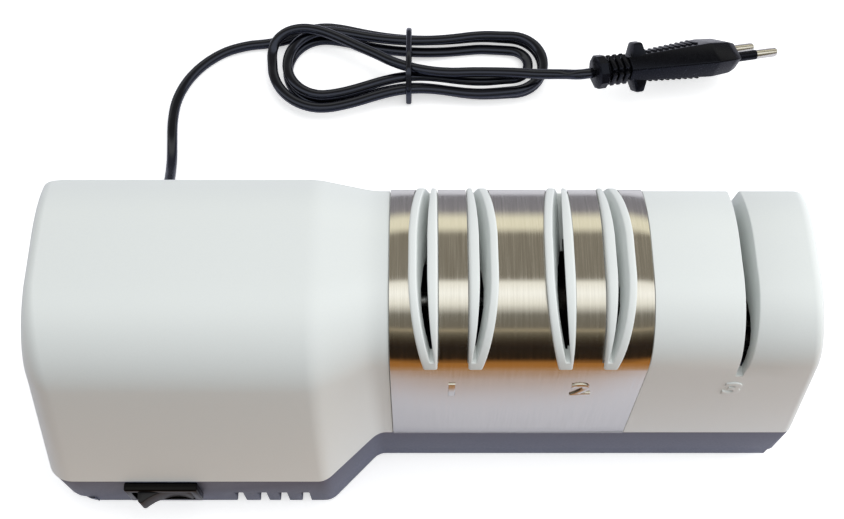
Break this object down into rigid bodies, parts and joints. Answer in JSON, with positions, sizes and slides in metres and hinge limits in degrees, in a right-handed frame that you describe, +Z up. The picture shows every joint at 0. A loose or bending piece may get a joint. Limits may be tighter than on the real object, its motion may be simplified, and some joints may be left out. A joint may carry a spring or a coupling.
{
  "type": "electric knife sharpener",
  "caption": "Benchtop electric knife sharpener with leaning powered slots, an upright hand slot, a front rocker switch and a tied mains lead.",
  "frame": {"origin": "middle of the footprint on the surface that the feet stand on", "axes": "+X along the body to the hand slot, +Y to the back where the lead leaves, +Z up"},
  "size_m": [0.2744, 0.2139, 0.1056],
  "materials": {
    "white_plastic": "fine satin sheen",
    "brushed_cover": "brushed front to back",
    "grey_plastic": "satin",
    "black_plastic": "glossy",
    "black_vinyl": "satin flexible cord",
    "foot_rubber": "matt",
    "dark_steel": "rolled",
    "bright_steel": "polished",
    "copper_winding": "enamelled copper",
    "bronze": "sintered",
    "abrasive_coat": "grit on steel",
    "cream_plastic": "moulded"
  },
  "bodies": {
    "housing": {"upper_housing": "white_plastic", "stainless_cover": "brushed_cover", "base_housing": "grey_plastic", "foot_front_left": "foot_rubber", "foot_back_left": "foot_rubber", "foot_front_right": "foot_rubber", "foot_back_right": "foot_rubber", "housing_screw_front_left": "bright_steel", "housing_screw_back_left": "bright_steel", "housing_screw_front_right": "bright_steel", "housing_screw_back_right": "bright_steel", "cleanout_cover": "grey_plastic", "cleanout_screw": "bright_steel", "switch_body": "black_plastic", "motor_core": "dark_steel", "coil_bobbin": "cream_plastic", "motor_coil": "copper_winding", "motor_bracket_left": "dark_steel", "motor_bracket_right": "dark_steel", "bearing_bush_left": "bronze", "bearing_bush_right": "bronze", "shaft_end_bush": "bronze", "motor_screw_front": "bright_steel", "motor_screw_back": "bright_steel", "roller_holder": "black_plastic", "roller_axle_left": "bright_steel", "roller_axle_right": "bright_steel", "wire_to_switch": "black_vinyl", "wire_to_coil": "black_vinyl", "cord_strain_relief": "black_vinyl", "cord_lead": "black_vinyl", "cord_hank": "black_vinyl", "cord_tie": "black_vinyl", "cord_tail": "black_vinyl", "plug_body": "black_vinyl", "plug_pin_upper": "bright_steel", "plug_pin_lower": "bright_steel"},
    "rocker": {"switch_rocker": "black_plastic"},
    "drive": {"drive_shaft": "bright_steel", "motor_rotor": "dark_steel", "cooling_fan": "cream_plastic", "drive_pin_one_left": "bright_steel", "drive_pin_one_right": "bright_steel", "drive_pin_two_left": "bright_steel", "drive_pin_two_right": "bright_steel", "disk_spring_one": "bright_steel", "disk_spring_two": "bright_steel"},
    "disk_one_left": {"abrasive_disk_one_left": "abrasive_coat"},
    "disk_one_right": {"abrasive_disk_one_right": "abrasive_coat"},
    "disk_two_left": {"abrasive_disk_two_left": "abrasive_coat"},
    "disk_two_right": {"abrasive_disk_two_right": "abrasive_coat"},
    "roller_left": {"hand_roller_left": "abrasive_coat"},
    "roller_right": {"hand_roller_right": "abrasive_coat"}
  },
  "joints": [
    {"name": "rocker_tip", "type": "hinge", "parent": "housing", "child": "rocker", "pos_m": [-0.0884, -0.03788, 0.0213], "axis": [0, 0, 1], "range_deg": [-24, 0]},
    {"name": "drive_spin", "type": "hinge", "parent": "housing", "child": "drive", "pos_m": [0, 0.00732, 0.074], "axis": [1, 0, 0], "continuous": true},
    {"name": "disk_one_left_slide", "type": "slide", "parent": "drive", "child": "disk_one_left", "axis": [1, 0, 0], "range_m": [0, 0.0015], "stiffness_N_per_m": 1500, "springref_m": -0.002, "deforming": ["disk_spring_one"]},
    {"name": "disk_one_right_slide", "type": "slide", "parent": "drive", "child": "disk_one_right", "axis": [-1, 0, 0], "range_m": [0, 0.0015], "stiffness_N_per_m": 1500, "springref_m": -0.002},
    {"name": "disk_two_left_slide", "type": "slide", "parent": "drive", "child": "disk_two_left", "axis": [1, 0, 0], "range_m": [0, 0.0015], "stiffness_N_per_m": 1500, "springref_m": -0.002, "deforming": ["disk_spring_two"]},
    {"name": "disk_two_right_slide", "type": "slide", "parent": "drive", "child": "disk_two_right", "axis": [-1, 0, 0], "range_m": [0, 0.0015], "stiffness_N_per_m": 1500, "springref_m": -0.002},
    {"name": "roller_left_spin", "type": "hinge", "parent": "housing", "child": "roller_left", "pos_m": [0.0924, 0.00432, 0.071], "axis": [0, 1, 0], "continuous": true},
    {"name": "roller_right_spin", "type": "hinge", "parent": "housing", "child": "roller_right", "pos_m": [0.1032, 0.00432, 0.071], "axis": [0, 1, 0], "continuous": true}
  ]
}
